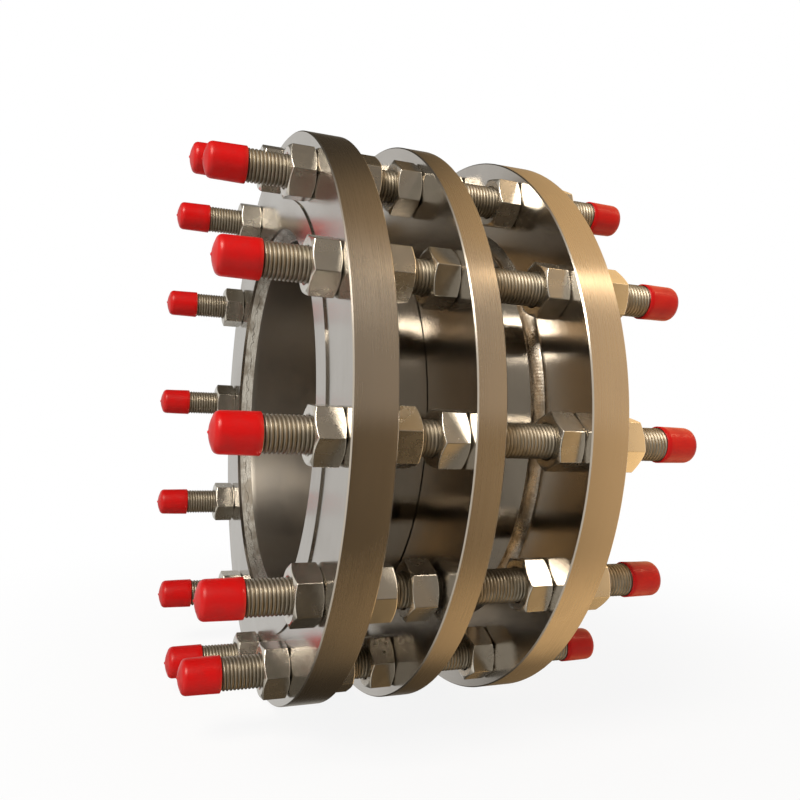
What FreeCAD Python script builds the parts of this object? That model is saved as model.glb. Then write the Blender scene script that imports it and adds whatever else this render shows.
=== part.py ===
import FreeCAD
import Part
import Sketcher
import math
import os

# Dismantling joint for a 14 inch, class 150 pipeline, in stainless steel.
# Frame: +X runs along the pipe from the spigot flange to the body flange, +Z is up.
# The origin is the centre of the body flange's raised face. All sizes are millimetres.
# A length that can be set by itself stands once below. Everything else is worked out.

SIZES = {
    # The three flange rings, outwards from the body tube
    "raised_face_margin": 14.4,
    "bolt_circle_margin": 31.75,
    "flange_rim_margin": 28.55,
    "flange_thickness": 33.4,
    "flange_edge_bevel": 1.0,
    "raised_face_height": 1.6,
    "gland_thickness": 24.0,
    # The ring of bolts
    "bolt_hole_clearance": 3.0,
    "bolt_count": 12,
    # Gaps between the rings as assembled
    "gap_gland_to_body": 71.5,
    "gap_spigot_to_gland": 58.0,
    # Spigot pipe
    "spigot_diameter": 355.6,
    "spigot_wall": 9.5,
    "spigot_hub_clearance": 1.8,
    "spigot_end_setback": 12.0,
    "spigot_end_bevel_length": 5.5,
    "spigot_end_bevel_depth": 1.5,
    "spigot_nose_bevel": 3.0,
    "spigot_nose_setback": 20.0,
    # Body tube and its gasket chamber
    "body_bore_clearance": 3.2,
    "body_wall": 11.0,
    "body_projection": 65.0,
    "body_seat_depth": 8.0,
    "body_seat_clearance": 0.2,
    "chamber_depth": 16.0,
    "chamber_widening": 7.0,
    # Wedge gasket and the gland's nose
    "gasket_proud": 2.0,
    "gasket_heel_gap": 3.0,
    "gasket_clearance": 0.3,
    "gland_bore_clearance": 1.4,
    "gland_nose_inset": 1.0,
    # Fillet welds
    "body_weld_leg": 8.5,
    "back_weld_leg": 7.0,
    "bore_weld_start": 2.9,
    "bore_weld_toe": 1.6,
    "weld_face_radius": 16.0,
    # Stud rods, and the thread left bare between the outer nut and the cap at each end
    "stud_diameter": 27.0,
    "stud_end_bevel": 2.0,
    "bare_thread_left": 32.3,
    "bare_thread_right": 27.1,
    # Hexagon nuts
    "nut_across_flats": 41.0,
    "nut_height": 22.0,
    "nut_thread_clearance": 0.3,
    "nut_bevel_angle": 30.0,
    "loose_nut_gap": 3.0,
    # Thread caps
    "cap_length": 34.2,
    "cap_wall": 1.3,
    "cap_clearance": 0.15,
    "cap_floor_setback": 0.6,
    "cap_end_gap": 0.5,
    "cap_shoulder_radius": 4.0,
    "cap_cone_height": 3.4,
    "cap_pip_length": 0.8,
    "cap_pip_diameter": 3.0,
}

# How far each nut is turned when it comes tight, in degrees, one row for each ring of nuts.
# The first nut of a row is on the stud nearest the viewer, and the rest follow upwards.
SPIGOT_OUTER_TURNS = (59, 45, 55, 38, 43, 14, 30, 54, 1, 54, 4, 36)
SPIGOT_INNER_TURNS = (44, 3, 35, 20, 49, 9, 28, 55, 16, 38, 22, 57)
GLAND_TURNS = (57, 21, 27, 44, 13, 57, 36, 25, 50, 6, 14, 42)
BODY_INNER_TURNS = (24, 41, 50, 53, 27, 40, 4, 47, 19, 34, 36, 11)
BODY_OUTER_TURNS = (10, 37, 23, 6, 45, 15, 51, 29, 2, 42, 31, 18)

# The gland nut on this stud, counted from 0, has backed off the gland and shows its thread.
LOOSE_NUT_INDEX = 11

HEXAGON_SIDES = 6
SHEET_NAME = "Sizes"


class Dim:
    """A length held as a number and as the sheet expression that gives that number."""

    def __init__(self, text, value):
        self.text = text
        self.value = float(value)

    @staticmethod
    def of(thing):
        """Take a plain number as a length without a name."""
        if isinstance(thing, Dim):
            return thing
        return Dim(repr(thing), thing)

    def _with(self, sign, other, value):
        return Dim("(%s %s %s)" % (self.text, sign, other.text), value)

    def __add__(self, other):
        other = Dim.of(other)
        return self._with("+", other, self.value + other.value)

    def __sub__(self, other):
        other = Dim.of(other)
        return self._with("-", other, self.value - other.value)

    def __mul__(self, other):
        other = Dim.of(other)
        return self._with("*", other, self.value * other.value)

    def __truediv__(self, other):
        other = Dim.of(other)
        return self._with("/", other, self.value / other.value)

    def __neg__(self):
        return Dim("(0 - %s)" % self.text, -self.value)


ZERO = Dim("0", 0)

doc = FreeCAD.newDocument("dismantling_joint")

# The sheet of driving sizes
sheet = doc.addObject("Spreadsheet::Sheet", SHEET_NAME)
for row, (alias, value) in enumerate(SIZES.items(), start=1):
    sheet.set("A%d" % row, alias)
    sheet.set("B%d" % row, str(value))
    sheet.setAlias("B%d" % row, alias)
doc.recompute()


def size(alias):
    """The named size from the sheet."""
    return Dim("%s.%s" % (SHEET_NAME, alias), SIZES[alias])


bolt_count = int(SIZES["bolt_count"])

# Radii
spigot_radius = size("spigot_diameter") / 2
spigot_bore_radius = spigot_radius - size("spigot_wall")
hub_bore_radius = spigot_radius + size("spigot_hub_clearance")
body_bore_radius = spigot_radius + size("body_bore_clearance")
body_outer_radius = body_bore_radius + size("body_wall")
raised_face_radius = body_outer_radius + size("raised_face_margin")
bolt_circle_radius = raised_face_radius + size("bolt_circle_margin")
flange_radius = bolt_circle_radius + size("flange_rim_margin")
chamber_mouth_radius = body_bore_radius + size("chamber_widening")
gland_bore_radius = spigot_radius + size("gland_bore_clearance")
stud_radius = size("stud_diameter") / 2
bolt_hole_radius = (size("stud_diameter") + size("bolt_hole_clearance")) / 2
nut_bore_radius = stud_radius + size("nut_thread_clearance")
nut_inscribed_radius = size("nut_across_flats") / 2
nut_corner_radius = size("nut_across_flats") / math.sqrt(3)

# Planes square to the pipe, from the body flange on the right to the spigot flange on the left
body_bolting_plane = -size("raised_face_height")
body_back_plane = body_bolting_plane - size("flange_thickness")
body_mouth_plane = body_back_plane - size("body_projection")
gland_front_plane = body_back_plane - size("gap_gland_to_body")
gland_back_plane = gland_front_plane - size("gland_thickness")
spigot_back_plane = gland_back_plane - size("gap_spigot_to_gland")
spigot_bolting_plane = spigot_back_plane - size("flange_thickness")
spigot_face_plane = spigot_bolting_plane - size("raised_face_height")
gasket_front_plane = body_mouth_plane - size("gasket_proud")
cap_shoulder = size("cap_length") - size("cap_pip_length") - size("cap_cone_height")
cap_floor = cap_shoulder - size("cap_floor_setback")
cap_cover = cap_floor - size("cap_end_gap")
covered_end = size("nut_height") + cap_cover
stud_left_plane = spigot_bolting_plane - covered_end - size("bare_thread_left")
stud_right_plane = body_bolting_plane + covered_end + size("bare_thread_right")

nodes = {}


def plane_of(body, role):
    """The origin plane or axis of a body with this role."""
    for feature in body.Origin.OriginFeatures:
        if feature.Role == role:
            return feature
    raise ValueError("no origin feature with the role " + role)


def new_sketch(body, name, role):
    """A sketch on one of the body's own origin planes."""
    sketch = body.newObject("Sketcher::SketchObject", name)
    sketch.AttachmentSupport = [(plane_of(body, role), "")]
    sketch.MapMode = "FlatFace"
    return sketch


def pin_point(sketch, geometry, end, across, up):
    """Hold one end of a line at a place given by two named lengths."""
    for axis, kind, length in ((-2, "DistanceX", across), (-1, "DistanceY", up)):
        if length.text == ZERO.text:
            sketch.addConstraint(Sketcher.Constraint("PointOnObject", geometry, end, axis))
            continue
        index = sketch.addConstraint(
            Sketcher.Constraint(kind, -1, 1, geometry, end, length.value))
        sketch.setExpression("Constraints[%d]" % index, length.text)


def bulged(start, end, radius):
    """The middle of an arc that swells to the left on the way from start to end."""
    chord = end - start
    sag = radius - math.sqrt(radius ** 2 - (chord.Length / 2) ** 2)
    outward = FreeCAD.Vector(-chord.y, chord.x, 0).normalize()
    return (start + end) / 2 + outward * sag


def outline(sketch, points, swells=None):
    """Draw a closed outline. swells gives the radius of each side that is an arc.

    An arc swells to the left of its side, so it is drawn from the side's end to its start.
    """
    swells = swells or {}
    places = [FreeCAD.Vector(across.value, up.value, 0) for across, up in points]
    ends = []
    for index, start in enumerate(places):
        end = places[(index + 1) % len(places)]
        if index in swells:
            middle = bulged(start, end, swells[index].value)
            side = sketch.addGeometry(Part.Arc(end, middle, start), False)
            ends.append((side, 2, 1))
        else:
            side = sketch.addGeometry(Part.LineSegment(start, end), False)
            ends.append((side, 1, 2))
    for index, (side, _, last) in enumerate(ends):
        following, first, _ = ends[(index + 1) % len(ends)]
        sketch.addConstraint(Sketcher.Constraint("Coincident", side, last, following, first))
    for (side, first, _), (across, up) in zip(ends, points):
        pin_point(sketch, side, first, across, up)
    for index, radius in swells.items():
        held = sketch.addConstraint(Sketcher.Constraint("Radius", ends[index][0], radius.value))
        sketch.setExpression("Constraints[%d]" % held, radius.text)


def new_body(label, along=ZERO, across=ZERO, up=ZERO):
    """A body whose place in the part follows the sheet."""
    body = doc.addObject("PartDesign::Body", label)
    body.Label = label
    place(body, along, across, up)
    return body


def place(item, along, across, up):
    """Put an object at a place given by named lengths, keeping its own rotation."""
    rotation = item.Placement.Rotation
    here = FreeCAD.Vector(along.value, across.value, up.value)
    item.Placement = FreeCAD.Placement(here, rotation)
    for axis, length in (("x", along), ("y", across), ("z", up)):
        if length.text != ZERO.text:
            item.setExpression(".Placement.Base." + axis, length.text)


def turned(label, along, points, swells=None):
    """A body turned about the pipe's axis from its half section, points being (along, radius)."""
    body = new_body(label, along)
    sketch = new_sketch(body, label + "_section", "XZ_Plane")
    outline(sketch, points, swells)
    feature = body.newObject("PartDesign::Revolution", label + "_turned")
    feature.Profile = sketch
    feature.ReferenceAxis = (sketch, ["H_Axis"])
    feature.Angle = 360
    body.Tip = feature
    return body


def cut_through(body, sketch, name):
    """Cut a sketch through the body, both ways from its plane."""
    before = volume_of(body)
    pocket = body.newObject("PartDesign::Pocket", name)
    pocket.Profile = sketch
    pocket.Type = "ThroughAll"
    pocket.SideType = "Symmetric"
    body.Tip = pocket
    doc.recompute()
    if volume_of(body) >= before:
        raise ValueError(name + " cuts nothing")
    return pocket


def repeat_round(body, feature, name, count):
    """Repeat a cut round the body's own X axis."""
    before = volume_of(body)
    pattern = body.newObject("PartDesign::PolarPattern", name)
    pattern.Originals = [feature]
    pattern.Axis = (plane_of(body, "X_Axis"), [""])
    pattern.Angle = 360
    pattern.Occurrences = count
    body.Tip = pattern
    doc.recompute()
    if volume_of(body) >= before:
        raise ValueError(name + " repeats nothing")


def volume_of(body):
    doc.recompute()
    return body.Shape.Volume


def round_cut(body, name, radius, offset=ZERO):
    """Cut a round hole along X, at the middle or offset from it."""
    sketch = new_sketch(body, name + "_circle", "YZ_Plane")
    centre = FreeCAD.Vector(offset.value, 0, 0)
    circle = sketch.addGeometry(Part.Circle(centre, FreeCAD.Vector(0, 0, 1), radius.value), False)
    pin_point(sketch, circle, 3, offset, ZERO)
    held = sketch.addConstraint(Sketcher.Constraint("Radius", circle, radius.value))
    sketch.setExpression("Constraints[%d]" % held, radius.text)
    return cut_through(body, sketch, name)


def bolt_holes(body):
    """Drill the ring of bolt holes."""
    label = body.Label
    hole = round_cut(body, label + "_hole", bolt_hole_radius, bolt_circle_radius)
    repeat_round(body, hole, label + "_holes", bolt_count)


def keep(item, solids=1):
    """Note an object as one node of the part, with the number of solids it holds."""
    nodes[item.Label] = (item, solids)
    return item


def stud_place(index):
    """Where a stud's axis crosses a plane square to the pipe, as (across, up)."""
    angle = math.radians(360.0 / bolt_count * index)
    return -(bolt_circle_radius * math.cos(angle)), bolt_circle_radius * math.sin(angle)


def build_body_flange():
    """Body flange: a seat for the body tube behind, a raised face in front, twelve holes."""
    thickness = size("flange_thickness")
    bevel = size("flange_edge_bevel")
    face = thickness + size("raised_face_height")
    seat_radius = body_outer_radius + size("body_seat_clearance")
    seat_depth = size("body_seat_depth")
    body = turned("body_flange", body_back_plane, [
        (ZERO, seat_radius),
        (ZERO, flange_radius - bevel),
        (bevel, flange_radius),
        (thickness - bevel, flange_radius),
        (thickness, flange_radius - bevel),
        (thickness, raised_face_radius),
        (face, raised_face_radius),
        (face, body_bore_radius),
        (seat_depth, body_bore_radius),
        (seat_depth, seat_radius),
    ])
    bolt_holes(body)
    keep(body)


def build_body_tube():
    """Body tube: seated in the flange, its mouth opened out as the gasket chamber."""
    length = size("body_projection") + size("body_seat_depth")
    keep(turned("body_tube", body_mouth_plane, [
        (ZERO, chamber_mouth_radius),
        (ZERO, body_outer_radius),
        (length, body_outer_radius),
        (length, body_bore_radius),
        (size("chamber_depth"), body_bore_radius),
    ]))


def build_body_weld():
    """Fillet weld between the body tube and the back of its flange."""
    leg = size("body_weld_leg")
    keep(turned("body_weld", body_back_plane - leg, [
        (leg, body_outer_radius),
        (ZERO, body_outer_radius),
        (leg, body_outer_radius + leg),
    ], {1: size("weld_face_radius")}))


def build_wedge_gasket():
    """Wedge gasket: its back follows the chamber's taper, its bore grips the spigot."""
    proud = size("gasket_proud")
    gap = size("gasket_clearance")
    bore = spigot_radius + gap
    reach = size("chamber_depth") - size("gasket_heel_gap")
    heel = proud + reach
    mouth = chamber_mouth_radius - gap
    taper = size("chamber_widening") / size("chamber_depth")
    keep(turned("wedge_gasket", gasket_front_plane, [
        (ZERO, bore),
        (ZERO, mouth),
        (proud, mouth),
        (heel, mouth - taper * reach),
        (heel, bore),
    ]))


def build_gland_ring():
    """Gland: a plain ring with a short nose that bears on the gasket."""
    thickness = size("gland_thickness")
    bevel = size("flange_edge_bevel")
    nose = gasket_front_plane - size("gasket_clearance") - gland_front_plane
    nose_radius = chamber_mouth_radius - size("gland_nose_inset")
    body = turned("gland_ring", gland_back_plane, [
        (ZERO, gland_bore_radius),
        (ZERO, flange_radius - bevel),
        (bevel, flange_radius),
        (thickness - bevel, flange_radius),
        (thickness, flange_radius - bevel),
        (thickness, nose_radius),
        (thickness + nose, nose_radius),
        (thickness + nose, gland_bore_radius),
    ])
    bolt_holes(body)
    keep(body)


def build_spigot_flange():
    """Spigot flange: slips over the pipe, with its raised face to the left."""
    raised = size("raised_face_height")
    bevel = size("flange_edge_bevel")
    back = raised + size("flange_thickness")
    body = turned("spigot_flange", spigot_face_plane, [
        (ZERO, hub_bore_radius),
        (ZERO, raised_face_radius),
        (raised, raised_face_radius),
        (raised, flange_radius - bevel),
        (raised + bevel, flange_radius),
        (back - bevel, flange_radius),
        (back, flange_radius - bevel),
        (back, hub_bore_radius),
    ])
    bolt_holes(body)
    keep(body)


def build_spigot_pipe():
    """Spigot pipe: from inside the spigot flange, through gland and gasket, into the body."""
    left = spigot_bolting_plane + size("spigot_end_setback")
    length = -size("spigot_nose_setback") - left
    nose = size("spigot_nose_bevel")
    keep(turned("spigot_pipe", left, [
        (ZERO, spigot_bore_radius + size("spigot_end_bevel_depth")),
        (ZERO, spigot_radius),
        (length - nose, spigot_radius),
        (length, spigot_radius - nose),
        (length, spigot_bore_radius),
        (size("spigot_end_bevel_length"), spigot_bore_radius),
    ]))


def build_spigot_back_weld():
    """Fillet weld between the back of the spigot flange and the outside of the pipe."""
    leg = size("back_weld_leg")
    keep(turned("spigot_back_weld", spigot_back_plane, [
        (leg, spigot_radius),
        (ZERO, spigot_radius),
        (ZERO, hub_bore_radius + leg),
    ], {2: size("weld_face_radius")}))


def build_spigot_bore_weld():
    """Weld that fills the step between the flange's bore and the end of the pipe."""
    start = size("bore_weld_start")
    end = size("raised_face_height") + size("spigot_end_setback")
    toe = spigot_bore_radius + size("spigot_end_bevel_depth") + size("bore_weld_toe")
    keep(turned("spigot_bore_weld", spigot_face_plane + start, [
        (end - start, toe),
        (ZERO, hub_bore_radius),
        (end - start, hub_bore_radius),
    ]))


def build_studs():
    """Stud rods: threaded from end to end, with bevelled ends, one for each bolt hole."""
    length = stud_right_plane - stud_left_plane
    bevel = size("stud_end_bevel")
    for index in range(bolt_count):
        across, up = stud_place(index)
        stud = turned("stud_%02d" % (index + 1), stud_left_plane, [
            (ZERO, ZERO),
            (ZERO, stud_radius - bevel),
            (bevel, stud_radius),
            (length - bevel, stud_radius),
            (length, stud_radius - bevel),
            (length, ZERO),
        ])
        place(stud, stud_left_plane, across, up)
        keep(stud)


def build_nut():
    """One hexagon nut with bevelled corners, seated on its own YZ plane."""
    body = new_body("nut_pattern")
    height = size("nut_height")
    hexagon = new_sketch(body, "nut_hexagon", "YZ_Plane")
    corners = []
    for corner in range(HEXAGON_SIDES):
        angle = 2 * math.pi * corner / HEXAGON_SIDES
        across = nut_corner_radius * math.cos(angle)
        up = nut_corner_radius * math.sin(angle) if corner % 3 else ZERO
        corners.append((across, up))
    outline(hexagon, corners)
    pad = body.newObject("PartDesign::Pad", "nut_blank")
    pad.Profile = hexagon
    pad.setExpression("Length", height.text)
    body.Tip = pad

    beyond = nut_corner_radius + size("nut_thread_clearance")
    rise = (beyond - nut_inscribed_radius) * math.tan(math.radians(SIZES["nut_bevel_angle"]))
    for name, end, inward in (("nut_seat_bevel", ZERO, rise), ("nut_top_bevel", height, height - rise)):
        bevel = new_sketch(body, name + "_section", "XY_Plane")
        outline(bevel, [(end, nut_inscribed_radius), (end, beyond), (inward, beyond)])
        cut = cut_through(body, bevel, name)
        # The cut runs along Z, so it takes both corners that lie in the sketch's plane
        repeat_round(body, cut, name + "s", HEXAGON_SIDES)
    round_cut(body, "nut_bore", nut_bore_radius)
    return body


def build_cap():
    """One push-on thread cap, its open end on its own YZ plane and its pip to the right.

    The corner of its hollow is bevelled alongside the bevelled end of the stud.
    """
    length = size("cap_length")
    bore = stud_radius + size("cap_clearance")
    outside = bore + size("cap_wall")
    pip_radius = size("cap_pip_diameter") / 2
    hollow_bevel = size("stud_end_bevel") - size("cap_end_gap")
    body = turned("cap_pattern", ZERO, [
        (ZERO, bore),
        (ZERO, outside),
        (cap_shoulder, outside),
        (length - size("cap_pip_length"), pip_radius),
        (length, pip_radius),
        (length, ZERO),
        (cap_floor, ZERO),
        (cap_floor, bore - hollow_bevel),
        (cap_floor - hollow_bevel, bore),
    ])
    doc.recompute()
    feature = body.Tip
    edge = edge_round_at(feature.Shape, cap_shoulder.value, outside.value)
    fillet = body.newObject("PartDesign::Fillet", "cap_shoulder_round")
    fillet.Base = (feature, [edge])
    fillet.setExpression("Radius", size("cap_shoulder_radius").text)
    body.Tip = fillet
    return body


def edge_round_at(shape, along, radius):
    """The name of the circular edge of this radius that lies this far along X."""
    for number, edge in enumerate(shape.Edges, start=1):
        curve = edge.Curve
        if isinstance(curve, Part.Circle):
            if math.isclose(curve.Radius, radius, abs_tol=1e-6):
                if math.isclose(curve.Center.x, along, abs_tol=1e-6):
                    return "Edge%d" % number
    raise ValueError("no round edge there")


def ring_of(label, pattern, along, turns, facing_left=False, shifts=None):
    """A copy of one fastener on every stud, as one node of separate solids."""
    shifts = shifts or {}
    copies = []
    for index in range(bolt_count):
        across, up = stud_place(index)
        copy = doc.addObject("App::Link", "%s_%02d" % (label, index + 1))
        copy.LinkedObject = pattern
        turn = FreeCAD.Rotation(FreeCAD.Vector(1, 0, 0), turns[index % len(turns)])
        if facing_left:
            turn = FreeCAD.Rotation(FreeCAD.Vector(0, 0, 1), 180) * turn
        copy.Placement = FreeCAD.Placement(FreeCAD.Vector(), turn)
        place(copy, along + shifts[index] if index in shifts else along, across, up)
        copies.append(copy)
    group = doc.addObject("Part::Compound", label)
    group.Label = label
    group.Links = copies
    keep(group, bolt_count)


def build_nuts():
    """Five rings of nuts: two clamp the spigot flange, one drives the gland, two clamp the body."""
    nut = build_nut()
    ring_of("spigot_outer_nuts", nut, spigot_bolting_plane, SPIGOT_OUTER_TURNS, facing_left=True)
    ring_of("spigot_inner_nuts", nut, spigot_back_plane, SPIGOT_INNER_TURNS)
    ring_of("gland_nuts", nut, gland_back_plane, GLAND_TURNS, facing_left=True,
            shifts={LOOSE_NUT_INDEX: -size("loose_nut_gap")})
    ring_of("body_inner_nuts", nut, body_back_plane, BODY_INNER_TURNS, facing_left=True)
    ring_of("body_outer_nuts", nut, body_bolting_plane, BODY_OUTER_TURNS)


def build_caps():
    """A thread cap on both ends of every stud."""
    cap = build_cap()
    no_turns = (0,)
    ring_of("left_caps", cap, stud_left_plane + cap_cover, no_turns, facing_left=True)
    ring_of("right_caps", cap, stud_right_plane - cap_cover, no_turns)


def check_and_export():
    """Stop on anything failed or unsound, then write one file for each node."""
    doc.recompute()
    for item in doc.Objects:
        if "Invalid" in item.State or "Error" in item.State:
            raise RuntimeError("%s is %s" % (item.Label, item.State))
    os.makedirs("parts", exist_ok=True)
    for label, (item, solids) in nodes.items():
        shape = item.Shape
        if shape.isNull() or not shape.isValid():
            raise RuntimeError(label + " has no sound shape")
        if len(shape.Solids) != solids:
            raise RuntimeError("%s has %d solids, not %d" % (label, len(shape.Solids), solids))
        shape.exportStep("parts/%s.step" % label)
        box = shape.BoundBox
        print("%-18s %2d solids %12.1f mm3  x %8.2f to %8.2f" % (
            label, solids, shape.Volume, box.XMin, box.XMax))


build_body_flange()
build_body_tube()
build_body_weld()
build_wedge_gasket()
build_gland_ring()
build_spigot_flange()
build_spigot_pipe()
build_spigot_back_weld()
build_spigot_bore_weld()
build_studs()
build_nuts()
build_caps()
check_and_export()
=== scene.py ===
"""Looks of a dismantling joint: three turned steel rings on twelve threaded studs.

Sizes of pieces and the camera's place are millimetres, turned to metres when they reach
Blender. Materials, lamps and the floor's reach are metres. The X axis runs along the pipe,
from the spigot flange to the body flange, and Z is up.
"""

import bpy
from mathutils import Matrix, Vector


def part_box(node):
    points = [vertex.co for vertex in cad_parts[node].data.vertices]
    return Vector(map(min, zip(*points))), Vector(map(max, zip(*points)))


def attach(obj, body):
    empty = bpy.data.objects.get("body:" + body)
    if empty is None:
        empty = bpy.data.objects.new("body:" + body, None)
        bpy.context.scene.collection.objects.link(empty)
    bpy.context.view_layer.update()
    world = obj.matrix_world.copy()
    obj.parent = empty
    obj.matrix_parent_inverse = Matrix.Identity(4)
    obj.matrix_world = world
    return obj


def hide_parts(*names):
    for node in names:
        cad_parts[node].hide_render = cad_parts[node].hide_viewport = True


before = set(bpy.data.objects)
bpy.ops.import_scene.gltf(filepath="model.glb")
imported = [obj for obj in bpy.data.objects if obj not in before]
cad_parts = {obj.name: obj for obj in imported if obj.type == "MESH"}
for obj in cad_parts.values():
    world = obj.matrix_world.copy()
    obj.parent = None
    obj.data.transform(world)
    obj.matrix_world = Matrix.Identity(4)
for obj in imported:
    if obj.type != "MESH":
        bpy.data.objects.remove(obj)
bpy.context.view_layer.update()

import logging
import math
import random
from dataclasses import dataclass, field
from enum import Enum

import bmesh
import bpy
import numpy as np
from mathutils import Matrix, Vector

LOG = logging.getLogger("dismantling_joint")
MM = 0.001
STUD_COUNT = 12
BOLT_CIRCLE_RADIUS = 238.15
RING_RADIUS = 266.7
RING_SEGMENTS = 288
MERGE_DISTANCE = 0.002

Socket = bpy.types.NodeSocket
Place = tuple[float, float, float]
Colour = tuple[float, float, float]
Section = list[tuple[float, float]]
Waves = tuple[int, int, int]
WHITE: Colour = (1.0, 1.0, 1.0)
TURNED: Colour = (0.56, 0.53, 0.49)
BRUSHED: Colour = (0.62, 0.57, 0.51)


class Body(Enum):
    """The moving bodies of the joint."""

    BODY = "body"
    SPIGOT = "spigot"
    GLAND = "gland"


class Slot(Enum):
    """The record's finishes that a piece can take."""

    FLANGE = "flange_steel"
    PIPE = "pipe_steel"
    WELD = "weld_steel"
    THREAD = "thread_steel"
    NUT = "nut_steel"
    CAP = "cap_red"
    GASKET = "gasket_rubber"


class Facing(Enum):
    """Which way the free end of a nut or cap points along the pipe."""

    RIGHT = 1
    LEFT = -1


class Step(Enum):
    """A step of arithmetic between shader nodes; SIZE drops a sign and skips the second number."""

    PLUS = "ADD"
    LESS = "SUBTRACT"
    TIMES = "MULTIPLY"
    LARGER = "MAXIMUM"
    SIZE = "ABSOLUTE"


def stud_centre(index: int) -> tuple[float, float]:
    """The y and z of a stud's axis, counted from 0 at the near side and upwards."""
    angle = math.tau * index / STUD_COUNT
    return -BOLT_CIRCLE_RADIUS * math.cos(angle), BOLT_CIRCLE_RADIUS * math.sin(angle)


def span(node: str) -> tuple[float, float]:
    """Where a node starts and ends along the pipe, in millimetres."""
    low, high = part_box(node)
    return low[0] / MM, high[0] / MM


def ringed(along: np.ndarray | float, radius: np.ndarray | float, angles: np.ndarray) -> np.ndarray:
    """Points round the X axis at these places along it, radii and angles."""
    across, up = radius * np.cos(angles), radius * np.sin(angles)
    return np.stack([np.broadcast_to(along, up.shape), across, up], axis=-1)


def linked(name: str, data: bpy.types.ID) -> bpy.types.Object:
    """Make an object and link it to the scene.

    Args:
        name: The object's name.
        data: Its mesh, lamp or camera.

    Returns:
        The new object.
    """
    item = bpy.data.objects.new(name, data)
    bpy.context.scene.collection.objects.link(item)
    return item


class Ripple:
    """A smooth wave round a circle, the same each run."""

    def __init__(self, seed: int, lowest: int, highest: int, count: int) -> None:
        """Draw the waves.

        Args:
            seed: The seed of the draw.
            lowest: The fewest waves round the circle.
            highest: The most waves round the circle.
            count: How many waves are added up.
        """
        draw = random.Random(seed)
        self.waves = [(draw.randint(lowest, highest), draw.uniform(0, math.tau), draw.uniform(0.4, 1.0))
                      for _ in range(count)]
        self.total = sum(size for _, _, size in self.waves)

    def at(self, angles: np.ndarray) -> np.ndarray:
        """The wave's height, within -1 and 1, at each angle."""
        return sum(size * np.cos(turns * angles + phase) for turns, phase, size in self.waves) / self.total


class Surface:
    """The corners and faces of one mesh while it is built, in millimetres."""

    def __init__(self) -> None:
        """Start with nothing."""
        self.corners: list[np.ndarray] = []
        self.faces: list[list[int]] = []
        self.count = 0

    def grid(self, points: np.ndarray, wrap_rows: bool = False, wrap_columns: bool = True) -> None:
        """Add a net of four-sided faces.

        Args:
            points: Corners as rows by columns by 3.
            wrap_rows: Whether the last row joins the first.
            wrap_columns: Whether the last column joins the first.
        """
        rows, columns = points.shape[:2]
        names = np.arange(rows * columns).reshape(rows, columns) + self.count
        if wrap_rows:
            names = np.vstack([names, names[:1]])
        if wrap_columns:
            names = np.hstack([names, names[:, :1]])
        quads = np.stack([names[:-1, :-1], names[:-1, 1:], names[1:, 1:], names[1:, :-1]], axis=-1)
        self.corners.append(points.reshape(-1, 3))
        self.faces.extend(quads.reshape(-1, 4).tolist())
        self.count += rows * columns

    def turn(self, profile: Section, segments: int = RING_SEGMENTS, closed: bool = False) -> None:
        """Turn a section about the X axis.

        Args:
            profile: Points along the section, as (x, radius).
            segments: How many steps there are round the axis.
            closed: Whether the last point joins the first.
        """
        section = np.array(profile, dtype=float)
        angles = np.arange(segments) * math.tau / segments
        self.grid(ringed(section[:, :1], section[:, 1:], angles), wrap_rows=closed)

    def at_stud(self, index: int, along: float, turn: float, facing: Facing) -> "Surface":
        """A copy turned about its own X axis, faced along the pipe and moved to a stud.

        Args:
            index: The stud.
            along: Where its own origin goes along X.
            turn: The turn about its own X axis, in degrees.
            facing: The way that its free end points.

        Returns:
            The moved copy.
        """
        spin = Matrix.Rotation(math.radians(turn), 3, "X")
        if facing is Facing.LEFT:
            spin = Matrix.Rotation(math.pi, 3, "Z") @ spin
        copy = Surface()
        turned = np.vstack(self.corners) @ np.array(spin).T
        copy.corners = [turned + np.array([along, *stud_centre(index)])]
        copy.faces = self.faces
        copy.count = self.count
        return copy

    def add(self, other: "Surface") -> None:
        """Take in all faces of another surface.

        Args:
            other: The surface.
        """
        self.corners.extend(other.corners)
        self.faces.extend([[name + self.count for name in face] for face in other.faces])
        self.count += other.count

    def piece(self, name: str, material: bpy.types.Material, sharp: float = 28.0) -> bpy.types.Object:
        """Make the mesh and its object.

        Args:
            name: The object's name.
            material: Its finish.
            sharp: Edges that turn by more than this, in degrees, stay crisp.

        Returns:
            The new object, linked to the scene.
        """
        mesh = bpy.data.meshes.new(name)
        places = np.vstack(self.corners) * MM
        mesh.from_pydata(places.tolist(), [], self.faces)
        work = bmesh.new()
        work.from_mesh(mesh)
        bmesh.ops.remove_doubles(work, verts=work.verts, dist=MERGE_DISTANCE * MM)
        rims = [edge for edge in work.edges if edge.is_boundary]
        if rims:
            bmesh.ops.holes_fill(work, edges=rims, sides=0)
        bmesh.ops.recalc_face_normals(work, faces=work.faces)
        work.to_mesh(mesh)
        work.free()
        mesh.shade_smooth()
        mesh.set_sharp_from_angle(angle=math.radians(sharp))
        mesh.materials.append(material)
        LOG.info("%s: %d faces", name, len(mesh.polygons))
        return linked(name, mesh)


def dress(item: bpy.types.Object, body: Body, slot: Slot, *nodes: str) -> None:
    """Put a piece on its body and hide the nodes that it stands for.

    Args:
        item: The piece.
        body: The body that carries it.
        slot: The record's finish that it takes; not used.
        *nodes: The nodes that it replaces.
    """
    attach(item, body.value)
    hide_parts(*nodes)


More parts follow.
